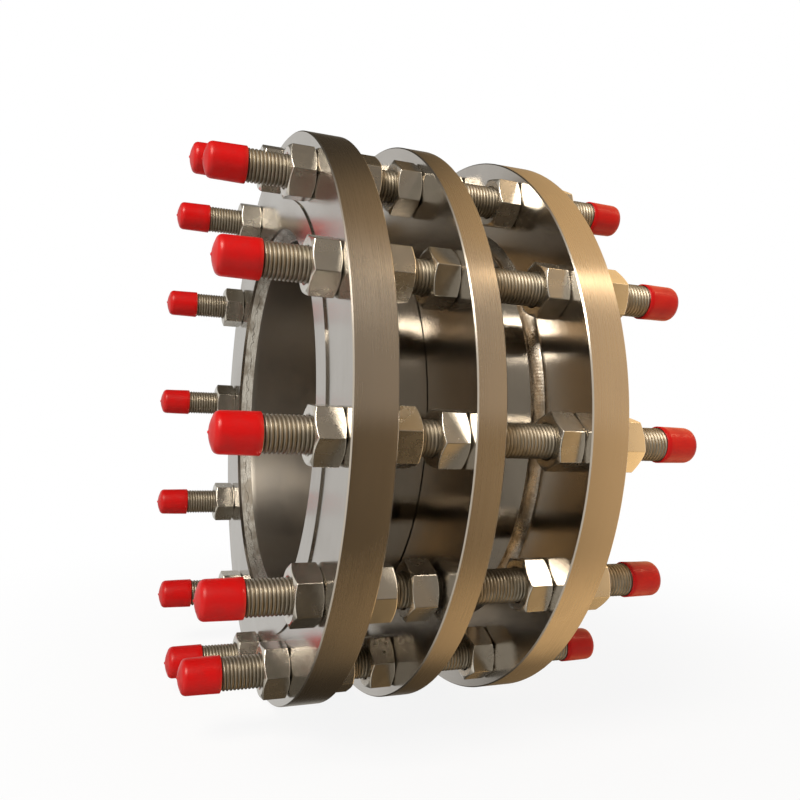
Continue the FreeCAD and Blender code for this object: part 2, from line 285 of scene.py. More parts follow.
class Wiring:
    """Short ways to place and join the nodes of one material or world."""

    def __init__(self, tree: bpy.types.NodeTree) -> None:
        """Clear the tree and keep it."""
        self.tree = tree
        tree.nodes.clear()

    def feed(self, socket: Socket, value: object) -> None:
        """Link a socket, or set a value on it.

        Args:
            socket: The input.
            value: What it takes: another socket, a number, a word, a vector or a colour.
        """
        if isinstance(value, Socket):
            self.tree.links.new(value, socket)
        elif socket.type == "RGBA":
            socket.default_value = (*value, 1.0)
        else:
            socket.default_value = value

    def node(self, kind: str, feeds: dict[int | str, object], **settings: object) -> bpy.types.Node:
        """Add a node.

        Args:
            kind: The node's type name without its prefix.
            feeds: For each input, by place or name, the socket or value that it takes, if any.
            **settings: The node's properties.

        Returns:
            The new node.
        """
        item = self.tree.nodes.new("ShaderNode" + kind)
        for key, value in settings.items():
            setattr(item, key, value)
        for key, value in feeds.items():
            if value is not None:
                self.feed(item.inputs[key], value)
        return item

    def reckon(self, step: Step, first: object, *others: object) -> Socket:
        """Work out numbers and sockets from left to right.

        Args:
            step: What is done with each pair.
            first: The first number or socket.
            *others: Those that follow it.

        Returns:
            The result's socket.
        """
        for other in others:
            first = self.node("Math", {0: first, 1: other}, operation=step.value).outputs[0]
        return first

    def fade(self, value: Socket, start: float, end: float, low: float = 0.0, high: float = 1.0) -> Socket:
        """Turn a value smoothly, from low where it is at start to high where it is at end."""
        feeds = {"Value": value, "From Min": start, "From Max": end, "To Min": low, "To Max": high}
        return self.node("MapRange", feeds, interpolation_type="SMOOTHSTEP").outputs["Result"]

    def blend(self, factor: object, first: object, second: object) -> Socket:
        """Mix two colours, from the first where the factor is 0 to the second where it is 1."""
        return self.node("Mix", {"Factor": factor, 6: first, 7: second}, data_type="RGBA").outputs[2]

    def mixed(self, share: Socket, first: bpy.types.Node, second: bpy.types.Node) -> bpy.types.Node:
        """Mix two shaders, with this share of the second."""
        return self.node("MixShader", {0: share, 1: first.outputs[0], 2: second.outputs[0]})

    def ramp(self, value: Socket, stops: tuple[tuple[float, Colour], ...]) -> Socket:
        """Turn a value between 0 and 1 to a colour, smoothly from stop to stop.

        Args:
            value: The value's socket.
            stops: Places between 0 and 1, each with its colour.

        Returns:
            The colour's socket.
        """
        item = self.node("ValToRGB", {0: value})
        item.color_ramp.interpolation = "EASE"
        elements = item.color_ramp.elements
        for place, _ in stops[1:-1]:
            elements.new(place)
        for element, (place, colour) in zip(elements, stops):
            element.position = place
            element.color = (*colour, 1.0)
        return item.outputs[0]


class Stock(Wiring):
    """A material under way, with the places on the object that its nodes read."""

    def __init__(self, name: str) -> None:
        """Make the material and its shader.

        Args:
            name: The material's name.
        """
        self.material = bpy.data.materials.new(name)
        self.material.use_nodes = True
        super().__init__(self.material.node_tree)
        self.shader = self.node("BsdfPrincipled", {})
        self.node("OutputMaterial", {0: self.shader.outputs[0]})
        self.place = self.node("TexCoord", {}).outputs["Object"]

    def set(self, **values: object) -> None:
        """Feed the shader's sockets, named in lower case with underscores."""
        for key, value in values.items():
            self.feed(self.shader.inputs[key.replace("_", " ").title().replace("Ior", "IOR")], value)

    def scatter(self, scale: float, detail: float, roughness: float = 0.55,
                place: Socket | None = None) -> Socket:
        """Make a noise.

        Args:
            scale: How fine it is.
            detail: How many finer layers it has.
            roughness: How much the finer layers count.
            place: Where it is read, if not on the object.

        Returns:
            The socket of a value between 0 and 1.
        """
        spot = self.place if place is None else place
        feeds = {"Vector": spot, "Scale": scale, "Detail": detail, "Roughness": roughness}
        return self.node("TexNoise", feeds).outputs["Fac"]

    def bump(self, height: Socket, distance: float, strength: float, under: Socket | None = None) -> Socket:
        """A normal bumped by a height, whose full step is this distance, laid on another if one is given."""
        feeds = {"Height": height, "Distance": distance, "Strength": strength, "Normal": under}
        return self.node("Bump", feeds).outputs["Normal"]

    def polar(self) -> tuple[Socket, Socket, Socket]:
        """The place along the pipe, the radius, and a direction round the pipe.

        Returns:
            Sockets for x, for the radius, and for the unit vector round the X axis.
        """
        along, across, up = self.node("SeparateXYZ", {0: self.place}).outputs
        flat = self.node("CombineXYZ", {1: across, 2: up}).outputs[0]
        radius = self.node("VectorMath", {0: flat}, operation="LENGTH").outputs["Value"]
        return along, radius, self.node("VectorMath", {0: flat}, operation="NORMALIZE").outputs[0]

    def grooves(self, fineness: float, stretch: float) -> Socket:
        """Long fine marks that run round the pipe, as a cutting tool or belt leaves them.

        Args:
            fineness: How many marks there are in a metre.
            stretch: How often they break round the pipe.

        Returns:
            The marks' height, between 0 and 1.
        """
        along, radius, around = self.polar()
        sweep = self.node("VectorMath", {0: around, "Scale": stretch}, operation="SCALE")
        step = self.node("CombineXYZ", {0: self.reckon(Step.TIMES, along, fineness)})
        spot = self.node("VectorMath", {0: sweep.outputs[0], 1: step.outputs[0]}, operation="ADD")
        depth = self.reckon(Step.TIMES, radius, fineness)
        feeds = {"Vector": spot.outputs[0], "W": depth, "Scale": 1.0, "Detail": 2.0}
        return self.node("TexNoise", feeds, noise_dimensions="4D").outputs["Fac"]

    def brush_round(self, strength: float) -> None:
        """Brush the metal round the pipe, so that its gloss is drawn out across the marks."""
        tangent = self.node("Tangent", {}, direction_type="RADIAL", axis="X").outputs[0]
        self.set(tangent=tangent, anisotropic=strength, anisotropic_rotation=0.25)


@dataclass(frozen=True)
class Finish:
    """A material that a piece can take."""

    name: str

    def make(self) -> bpy.types.Material:
        """Build the material.

        Returns:
            The new material.
        """
        stock = Stock(self.name)
        self.paint(stock)
        return stock.material

    def paint(self, stock: Stock) -> None:
        """Set up the material's shader, which each finish does in its own way."""
        raise NotImplementedError


@dataclass(frozen=True)
class RingSteel(Finish):
    """Stainless steel turned on a lathe: mirror-like faces and a satin, brushed rim."""

    face: Colour = TURNED
    rim: Colour = BRUSHED
    worn: Colour = (0.26, 0.21, 0.16)
    streak: Colour = (0.36, 0.30, 0.23)
    face_gloss: float = 0.17
    rim_gloss: float = 0.25
    rim_start: float = 0.2657
    rim_blur: float = 0.0004

    def paint(self, stock: Stock) -> None:
        """Lay clouds of wear, broad streaks and fine tool marks.

        Args:
            stock: The material under way.
        """
        _, radius, _ = stock.polar()
        on_rim = stock.fade(radius, self.rim_start - self.rim_blur, self.rim_start + self.rim_blur)
        colour = stock.blend(on_rim, self.face, self.rim)
        clouds = stock.fade(stock.scatter(9.0, 4.0), 0.35, 0.7)
        fine = stock.grooves(5200.0, 5.0)
        broad = stock.grooves(620.0, 1.6)
        colour = stock.blend(stock.reckon(Step.TIMES, clouds, 0.14), colour, self.worn)
        colour = stock.blend(stock.fade(broad, 0.35, 0.75, 0.0, 0.07), colour, self.streak)
        glosses = {"Factor": on_rim, 2: self.face_gloss, 3: self.rim_gloss}
        gloss = stock.node("Mix", glosses, data_type="FLOAT").outputs[0]
        rough = stock.reckon(Step.PLUS, gloss, stock.fade(fine, 0.3, 0.7, -0.02, 0.02),
                             stock.fade(clouds, 0.0, 1.0, 0.0, 0.04))
        normal = stock.bump(fine, 0.000005, 0.35)
        stock.set(base_color=colour, metallic=1.0, roughness=rough, normal=normal)
        stock.brush_round(0.75)


@dataclass(frozen=True)
class PipeSteel(Finish):
    """Polished stainless pipe: a mirror with faint marks round it, and a duller bore."""

    outside: Colour
    bore: Colour
    bore_radius: float
    smear: Colour = (0.20, 0.17, 0.13)
    gloss: float = 0.13
    bore_gloss: float = 0.34

    def paint(self, stock: Stock) -> None:
        """Lay smears and fine marks that run round the pipe.

        Args:
            stock: The material under way.
        """
        _, radius, _ = stock.polar()
        is_outside = stock.fade(radius, self.bore_radius + 0.0005, self.bore_radius + 0.002)
        smears = stock.scatter(22.0, 4.0)
        marks = stock.grooves(1900.0, 9.0)
        colour = stock.blend(is_outside, self.bore, self.outside)
        colour = stock.blend(stock.fade(smears, 0.35, 0.75, 0.0, 0.22), colour, self.smear)
        rough = stock.reckon(Step.PLUS, stock.fade(is_outside, 0.0, 1.0, self.bore_gloss, self.gloss),
                             stock.fade(smears, 0.3, 0.7, 0.0, 0.07),
                             stock.fade(marks, 0.3, 0.7, -0.02, 0.03))
        normal = stock.bump(marks, 0.000004, 0.3)
        stock.set(base_color=colour, metallic=1.0, roughness=rough, normal=normal)
        stock.brush_round(0.5)


@dataclass(frozen=True)
class WeldSteel(Finish):
    """Bare weld metal: streaked and grainy, heat-tinted, with one ragged dark seam."""

    bright: Colour
    tint: Colour
    seam_radius: float
    seam_width: float = 0.00045
    seam_waver: float = 0.0008
    streak: Colour = (0.16, 0.12, 0.08)
    seam: Colour = (0.035, 0.028, 0.02)

    def paint(self, stock: Stock) -> None:
        """Lay heat tints, streaks and grit, and the seam with its breaks.

        Args:
            stock: The material under way.
        """
        _, radius, around = stock.polar()
        grit = stock.scatter(800.0, 4.0, 0.7)
        patches = stock.scatter(60.0, 3.0)
        streaks = stock.grooves(900.0, 16.0)
        colour = stock.blend(stock.fade(patches, 0.42, 0.62), self.bright, self.tint)
        colour = stock.blend(stock.fade(streaks, 0.42, 0.62, 0.0, 0.35), colour, self.streak)
        waver = stock.scatter(14.0, 3.0, place=around)
        shift = stock.fade(waver, 0.25, 0.75, -self.seam_waver, self.seam_waver)
        off = stock.reckon(Step.SIZE, stock.reckon(Step.LESS, radius, self.seam_radius, shift), 0.0)
        near = stock.fade(off, 0.3 * self.seam_width, self.seam_width, 1.0, 0.0)
        broken = stock.fade(stock.scatter(9.0, 2.0, place=around), 0.35, 0.6, 0.3, 1.0)
        seam = stock.reckon(Step.TIMES, near, broken)
        colour = stock.blend(stock.reckon(Step.TIMES, seam, 0.8), colour, self.seam)
        rough = stock.reckon(Step.PLUS, stock.fade(grit, 0.3, 0.7, 0.2, 0.34),
                             stock.fade(patches, 0.3, 0.7, 0.0, 0.08))
        relief = stock.reckon(Step.LESS, stock.reckon(Step.TIMES, grit, 0.6), seam)
        normal = stock.bump(streaks, 0.00025, 0.3, stock.bump(relief, 0.00022, 0.3))
        stock.set(base_color=colour, metallic=1.0, roughness=rough, normal=normal)


@dataclass(frozen=True)
class ThreadSteel(Finish):
    """Rolled thread: satin crests, and roots painted darker as painted shade."""

    crest: Colour
    # root: the painted shade colour that the hollow thread roots take
    root: Colour
    oil: Colour = (0.16, 0.13, 0.08)

    def paint(self, stock: Stock) -> None:
        """Paint shade into the roots and lay patches of oil.

        Args:
            stock: The material under way.
        """
        edges = stock.node("NewGeometry", {}).outputs["Pointiness"]
        patches = stock.scatter(120.0, 4.0)
        # painted shade: the hollow thread roots, found by pointiness, take the darker root colour
        colour = stock.blend(stock.fade(edges, 0.44, 0.53), self.root, self.crest)
        colour = stock.blend(stock.fade(patches, 0.4, 0.75, 0.0, 0.35), colour, self.oil)
        rough = stock.fade(patches, 0.3, 0.7, 0.4, 0.52)
        normal = stock.bump(stock.scatter(2600.0, 2.0), 0.00003, 0.3)
        stock.set(base_color=colour, metallic=1.0, roughness=rough, normal=normal)


@dataclass(frozen=True)
class NutSteel(Finish):
    """Machined nut: smooth satin flats with faint stains."""

    colour: Colour
    stain: Colour = (0.34, 0.28, 0.21)

    def paint(self, stock: Stock) -> None:
        """Lay the stains and an uneven gloss.

        Args:
            stock: The material under way.
        """
        skin = stock.scatter(110.0, 3.0)
        stains = stock.scatter(26.0, 2.0)
        colour = stock.blend(stock.fade(stains, 0.4, 0.75, 0.0, 0.14), self.colour, self.stain)
        rough = stock.reckon(Step.PLUS, stock.fade(skin, 0.3, 0.7, 0.2, 0.25),
                             stock.fade(stains, 0.3, 0.7, 0.0, 0.05))
        normal = stock.bump(stock.scatter(420.0, 2.0), 0.000004, 0.3)
        stock.set(base_color=colour, metallic=1.0, roughness=rough, normal=normal)


@dataclass(frozen=True)
class RedVinyl(Finish):
    """Dipped soft vinyl: satin red with dull handling marks, darker at the moulded pip."""

    colour: Colour
    deep: Colour
    edge: Colour = (0.16, 0.006, 0.012)

    def paint(self, stock: Stock) -> None:
        """Lay handling marks, a darker pip and a skin that is a little uneven.

        Args:
            stock: The material under way.
        """
        edges = stock.node("NewGeometry", {}).outputs["Pointiness"]
        marks = stock.scatter(90.0, 4.0)
        skin = stock.bump(stock.scatter(45.0, 2.0), 0.0008, 0.2)
        colour = stock.blend(stock.fade(marks, 0.35, 0.75, 0.0, 0.45), self.colour, self.deep)
        colour = stock.blend(stock.fade(edges, 0.62, 0.78), colour, self.edge)
        rough = stock.fade(marks, 0.3, 0.75, 0.29, 0.45)
        normal = stock.bump(stock.scatter(1500.0, 2.0), 0.00003, 0.3, skin)
        stock.set(base_color=colour, roughness=rough, normal=normal, specular_ior_level=0.4)


@dataclass(frozen=True)
class BlackRubber(Finish):
    """Moulded black rubber: matt, with a faint bloom."""

    colour: Colour
    bloom: Colour

    def paint(self, stock: Stock) -> None:
        """Lay the bloom.

        Args:
            stock: The material under way.
        """
        cast = stock.scatter(90.0, 4.0)
        colour = stock.blend(stock.fade(cast, 0.4, 0.8, 0.0, 0.6), self.colour, self.bloom)
        rough = stock.fade(cast, 0.3, 0.7, 0.55, 0.75)
        normal = stock.bump(stock.scatter(1800.0, 3.0), 0.0001, 0.4)
        stock.set(base_color=colour, roughness=rough, normal=normal)


@dataclass
class DrilledRing:
    """A flange ring: two drilled faces, a bevelled rim, and its own bore and steps."""

    name: str
    node: str
    body: Body
    finish: RingSteel
    left: float
    right: float
    left_inner: float
    right_inner: float
    bore_side: Section
    radius: float = RING_RADIUS
    bevel: float = 1.0
    hole_radius: float = 15.0
    hole_edge: float = 0.7
    side_steps: int = 8
    loops: tuple[float, ...] = (0.0, 0.12, 0.45, 1.0)

    def _border(self, inner: float) -> np.ndarray:
        """The closed border of one hole's share of a face.

        Args:
            inner: The face's inner radius.

        Returns:
            Points in the plane of the face, with the hole's centre on the first axis.
        """
        outer = self.radius - self.bevel
        half = math.pi / STUD_COUNT
        sweep = np.linspace(-half, half, RING_SEGMENTS // STUD_COUNT + 1)
        sides = np.linspace(outer, inner, self.side_steps + 1)[1:-1]
        arc_out = np.stack([outer * np.cos(sweep), outer * np.sin(sweep)], axis=1)
        side_down = np.stack([sides * math.cos(half), sides * math.sin(half)], axis=1)
        arc_in = np.stack([inner * np.cos(sweep[::-1]), inner * np.sin(sweep[::-1])], axis=1)
        side_up = np.stack([sides[::-1] * math.cos(half), -sides[::-1] * math.sin(half)], axis=1)
        return np.vstack([arc_out, side_down, arc_in, side_up])

    def _hole_loop(self, inner: float, radius: float) -> np.ndarray:
        """Points round a hole, one towards each point of its face's border.

        Args:
            inner: The face's inner radius.
            radius: How far they lie from the hole's centre.

        Returns:
            Points in the plane of the face.
        """
        middle = np.array([BOLT_CIRCLE_RADIUS, 0.0])
        outward = self._border(inner) - middle
        return middle + outward / np.linalg.norm(outward, axis=1, keepdims=True) * radius

    @staticmethod
    def _standing(rows: list[tuple[float, np.ndarray]], angle: float) -> np.ndarray:
        """Stand loops of plane points up in the ring.

        Args:
            rows: For each loop its place along the pipe and its plane points.
            angle: The hole's angle round the pipe.

        Returns:
            Rows by columns by 3.
        """
        cosine, sine = math.cos(angle), math.sin(angle)
        loops = []
        for along, flat in rows:
            across = flat[:, 0] * cosine - flat[:, 1] * sine
            up = flat[:, 0] * sine + flat[:, 1] * cosine
            loops.append(np.stack([np.full(len(flat), along), across, up], axis=1))
        return np.array(loops)

    def shape(self) -> Surface:
        """Build the ring.

        Returns:
            The ring's surface.
        """
        surface = Surface()
        rim = self.radius - self.bevel
        surface.turn([(self.left, rim), (self.left + self.bevel, self.radius),
                      (self.right - self.bevel, self.radius), (self.right, rim)])
        surface.turn([(self.left, self.left_inner), *self.bore_side, (self.right, self.right_inner)])
        wide = self.hole_radius + self.hole_edge
        for index in range(STUD_COUNT):
            angle = math.tau * index / STUD_COUNT
            for along, inner in ((self.left, self.left_inner), (self.right, self.right_inner)):
                start, end = self._hole_loop(inner, wide), self._border(inner)
                rows = [(along, start + (end - start) * share) for share in self.loops]
                surface.grid(self._standing(rows, angle))
            wall = [(self.left, self._hole_loop(self.left_inner, wide)),
                    (self.left + self.hole_edge, self._hole_loop(self.left_inner, self.hole_radius)),
                    (self.right - self.hole_edge, self._hole_loop(self.right_inner, self.hole_radius)),
                    (self.right, self._hole_loop(self.right_inner, wide))]
            surface.grid(self._standing(wall, angle))
        return surface

    def build(self) -> None:
        """Build the ring and dress it."""
        item = self.shape().piece(self.name, self.finish.make())
        dress(item, self.body, Slot.FLANGE, self.node)


@dataclass
class TurnedPart:
    """A plain part turned from one closed section: a tube or the gasket."""

    name: str
    node: str
    body: Body
    slot: Slot
    finish: Finish
    section: Section

    def build(self) -> None:
        """Build the part and dress it."""
        surface = Surface()
        surface.turn(self.section, closed=True)
        dress(surface.piece(self.name, self.finish.make()), self.body, self.slot, self.node)


@dataclass
class WeldBead:
    """A hand-laid weld run all round the pipe, with low uneven ripples and toes."""

    name: str
    node: str
    body: Body
    finish: WeldSteel
    start: tuple[float, float]
    end: tuple[float, float]
    root: tuple[float, float]
    swell: float
    seed: int
    ripples: int = 420
    ripple_height: float = 0.1
    lump_height: float = 0.3
    wander: float = 0.6
    crest_bow: float = 1.9
    crest_drift: float = 2.2
    crest_sharpness: float = 1.5
    lump_slant: float = 0.9
    drift_waves: Waves = (3, 60, 12)
    lump_waves: Waves = (20, 190, 24)
    toe_waves: Waves = (20, 120, 14)
    steps: int = 1680
    rows: int = 9

    def build(self) -> None:
        """Build the bead and dress it."""
        angles = np.arange(self.steps) * math.tau / self.steps
        drift = Ripple(self.seed, *self.drift_waves)
        lumps = Ripple(self.seed + 1, *self.lump_waves)
        toes = (Ripple(self.seed + 2, *self.toe_waves), Ripple(self.seed + 3, *self.toe_waves))
        first, last = np.array(self.start), np.array(self.end)
        run = last - first
        length = float(np.linalg.norm(run))
        outward = np.array([run[1], -run[0]]) / length
        if np.dot(outward, (first + last) / 2 - np.array(self.root)) < 0:
            outward = -outward
        points = np.empty((self.rows + 1, self.steps, 3))
        for row in range(self.rows):
            share = row / (self.rows - 1)
            arch = 4 * share * (1 - share)
            shift = (toes[0].at(angles) * (1 - share) + toes[1].at(angles) * share) * self.wander
            bow = self.ripples * angles + self.crest_bow * arch + self.crest_drift * drift.at(angles)
            crest = 1 - np.abs(np.sin(bow / 2)) ** self.crest_sharpness
            lift = arch * (self.swell + self.lump_height * lumps.at(angles + self.lump_slant * share))
            lift += arch ** 0.5 * self.ripple_height * crest
            spot = first[:, None] + run[:, None] * share + outward[:, None] * lift
            spread = run[:, None] / length * shift * (2 * share - 1)
            along, radius = spot + spread * arch
            points[row] = ringed(along, radius, angles)
        points[self.rows] = ringed(*self.root, angles)
        surface = Surface()
        surface.grid(points, wrap_rows=True)
        item = surface.piece(self.name, self.finish.make(), sharp=50.0)
        dress(item, self.body, Slot.WELD, self.node)


@dataclass
class StudRods:
    """The twelve studs, each a rod with a real rolled thread from end to end."""

    finish: ThreadSteel
    left: float
    right: float
    radius: float = 13.5
    end_bevel: float = 2.0
    pitch: float = 3.0
    depth: float = 1.2
    steps: int = 28
    seed: int = 12
    section: tuple[tuple[float, float], ...] = (
        (0.0, 1.0), (0.88, 0.1), (1.05, 0.0), (1.95, 0.0), (2.12, 0.1))

    def shape(self, phase: float) -> Surface:
        """One rod along its own X axis.

        Args:
            phase: Where the thread starts round the rod, in radians.

        Returns:
            The rod's surface.
        """
        turns = int((self.right - self.left) / self.pitch) + 2
        count = turns * self.steps + 1
        step = np.arange(count)
        angles = phase + step * math.tau / self.steps
        base = self.left - self.pitch + step * self.pitch / self.steps
        sides = np.empty((len(self.section), count, 3))
        for row, (offset, sunk) in enumerate(self.section):
            along = np.clip(base + offset, self.left, self.right)
            ends = np.minimum(along - self.left, self.right - along)
            radius = np.minimum(self.radius - self.depth * sunk, self.radius - self.end_bevel + ends)
            sides[row] = ringed(along, radius, angles)
        surface = Surface()
        surface.grid(sides, wrap_columns=False)
        seam = np.stack([sides[-1, :-self.steps], sides[0, self.steps:]])
        surface.grid(seam, wrap_columns=False)
        return surface

    def build(self) -> None:
        """Build the rods and dress them."""
        draw = random.Random(self.seed)
        material = self.finish.make()
        for index in range(STUD_COUNT):
            rod = self.shape(draw.uniform(0, math.tau)).at_stud(index, 0.0, 0.0, Facing.RIGHT)
            item = rod.piece("threaded_rod_%02d" % (index + 1), material, sharp=80.0)
            dress(item, Body.BODY, Slot.THREAD, "stud_%02d" % (index + 1))


@dataclass
class HexNut:
    """A hexagon nut with both ends bevelled, its seat on its own YZ plane."""

    sides: int = 6
    across_flats: float = 41.0
    height: float = 22.0
    bore: float = 13.8
    mouth: float = 14.9
    land: float = 19.5
    corner_round: float = 0.9
    bevel_angle: float = 25.0
    edge_round: float = 0.7
    edge_hold: float = 0.25
    flat_steps: int = 6
    corner_steps: int = 3

    def _outline(self) -> np.ndarray:
        """The hexagon with its corners eased.

        Returns:
            Points in the plane of the hexagon.
        """
        half = math.pi / self.sides
        middle = (self.across_flats / 2 - self.corner_round) / math.cos(half)
        points = []
        for corner in range(self.sides):
            angle = 2 * half * corner
            centre = np.array([math.cos(angle), math.sin(angle)]) * middle
            for step in range(self.corner_steps + 1):
                sweep = angle - half + 2 * half * step / self.corner_steps
                points.append(centre + self.corner_round * np.array([math.cos(sweep), math.sin(sweep)]))
        rounded = np.array(points).reshape(self.sides, self.corner_steps + 1, 2)
        outline = []
        for corner in range(self.sides):
            outline.extend(rounded[corner])
            here, there = rounded[corner][-1], rounded[(corner + 1) % self.sides][0]
            held = self.edge_hold / np.linalg.norm(there - here)
            for share in np.linspace(held, 1.0 - held, self.flat_steps):
                outline.append(here + (there - here) * share)
        return np.array(outline)

    def shape(self) -> Surface:
        """Build one nut.

        Returns:
            The nut's surface.
        """
        outline = self._outline()
        reach = np.linalg.norm(outline, axis=1)
        unit = outline / reach[:, None]
        slope = math.radians(self.bevel_angle)
        drop = (reach - self.land) * math.tan(slope)
        turn = math.pi / 2 - slope
        centre = drop + self.edge_round * math.tan(turn / 2)
        sink = self.mouth - self.bore
        level = np.zeros(len(outline))
        rows = [(level + sink, unit * self.bore), (level, unit * self.mouth), (level, unit * self.land)]
        for step in range(self.corner_steps + 1):
            lean = turn * (1 - step / self.corner_steps)
            shrink = self.edge_round * (1 - math.cos(lean))
            rows.append((centre - self.edge_round * math.sin(lean), outline - unit * shrink))
        rows.append((centre + self.edge_hold, outline))
        rows.extend((self.height - along, flat) for along, flat in rows[::-1])
        points = np.array([np.stack([along, flat[:, 0], flat[:, 1]], axis=1) for along, flat in rows])
        surface = Surface()
        surface.grid(points, wrap_rows=True)
        return surface


@dataclass
class NutRow:
    """Twelve nuts on one seat, each turned as it came tight."""

    name: str
    node: str
    body: Body
    seat: float
    facing: Facing
    turns: tuple[int, ...]
    shifts: dict[int, float] = field(default_factory=dict)

    def build(self, nut: Surface, material: bpy.types.Material) -> None:
        """Build the row and dress it.

        Args:
            nut: One nut.
            material: The nuts' finish.
        """
        row = Surface()
        for index, turn in enumerate(self.turns):
            row.add(nut.at_stud(index, self.seat + self.shifts.get(index, 0.0), turn, self.facing))
        dress(row.piece(self.name, material, sharp=24.0), self.body, Slot.NUT, self.node)


@dataclass
class ThreadCap:
    """A dipped vinyl thread cap: a tapered sleeve, a cone and a moulded pip."""

    length: float
    bore: float = 13.62
    mouth: float = 14.95
    neck: float = 14.5
    shoulder_round: float = 5.0
    cone_height: float = 3.4
    pip_length: float = 0.8
    pip_radius: float = 1.5
    floor_setback: float = 0.6
    hollow_bevel: float = 1.5
    hollow_lip: tuple[float, float] = (0.5, 0.4)
    lip_round: float = 0.35
    cone_bulges: tuple[tuple[float, float], ...] = ((0.3, 0.35), (0.6, 0.4), (0.85, 0.2))
    unevenness: float = 0.006
    waves: Waves = (2, 5, 4)
    segments: int = 48
    arc_steps: int = 7
    side_steps: int = 6

    def _outside(self) -> Section:
        """The outer side of the cap's section.

        Returns:
            Points as (x, radius), from the mouth to the middle of the pip.
        """
        cone_end = np.array([self.length - self.pip_length, self.pip_radius])
        corner = np.array([cone_end[0] - self.cone_height, self.neck])
        start = np.array([self.lip_round, self.mouth])
        back = (start - corner) / np.linalg.norm(start - corner)
        down = (cone_end - corner) / np.linalg.norm(cone_end - corner)
        half = math.acos(float(np.dot(back, down))) / 2
        first = corner + back * self.shoulder_round / math.tan(half)
        last = corner + down * self.shoulder_round / math.tan(half)
        bisector = (back + down) / np.linalg.norm(back + down)
        centre = corner + bisector * self.shoulder_round / math.sin(half)
        points = [tuple(start + (first - start) * step / self.side_steps) for step in range(self.side_steps)]
        sweep = [math.atan2(*(point - centre)[::-1]) for point in (first, last)]
        for step in range(self.arc_steps + 1):
            angle = sweep[0] + (sweep[1] - sweep[0]) * step / self.arc_steps
            points.append((centre[0] + self.shoulder_round * math.cos(angle),
                           centre[1] + self.shoulder_round * math.sin(angle)))
        for share, bulge in self.cone_bulges:
            along, radius = last + (cone_end - last) * share
            points.append((along + bulge, radius))
        pip = [(cone_end[0] - 0.05, self.pip_radius + 0.5), (cone_end[0] + 0.15, self.pip_radius * 0.8),
               (self.length - 0.15, self.pip_radius * 0.5), (self.length, 0.0)]
        return points + pip

    def shape(self, seed: int) -> Surface:
        """Build one cap, a little uneven as dipped vinyl is.

        Args:
            seed: The seed of its unevenness.

        Returns:
            The cap's surface.
        """
        floor = self.length - self.pip_length - self.cone_height - self.floor_setback
        lip_length, lip_depth = self.hollow_lip
        section = [(floor, 0.0), (floor, self.bore - self.hollow_bevel),
                   (floor - self.hollow_bevel, self.bore), (lip_length, self.bore),
                   (0.0, self.bore + lip_depth), (0.0, self.mouth - self.lip_round), *self._outside()]
        surface = Surface()
        surface.turn(section, segments=self.segments)
        corners = surface.corners[0]
        wave = Ripple(seed, *self.waves)
        angles = np.arctan2(corners[:, 2], corners[:, 1])
        outside = np.hypot(corners[:, 1], corners[:, 2]) > self.bore + 0.2
        swell = 1 - self.unevenness * (1 + wave.at(angles + corners[:, 0] * 0.05)) * outside
        corners[:, 1:] *= swell[:, None]
        return surface


@dataclass
class CapRow:
    """Twelve caps on one end of the studs."""

    name: str
    node: str
    mouth: float
    facing: Facing
    seed: int

    def build(self, cap: ThreadCap, material: bpy.types.Material) -> None:
        """Build the row and dress it.

        Args:
            cap: The cap's sizes.
            material: The caps' finish.
        """
        draw = random.Random(self.seed)
        row = Surface()
        for index in range(STUD_COUNT):
            shape = cap.shape(self.seed + index)
            row.add(shape.at_stud(index, self.mouth, draw.uniform(0, 360), self.facing))
        dress(row.piece(self.name, material, sharp=55.0), Body.BODY, Slot.CAP, self.node)


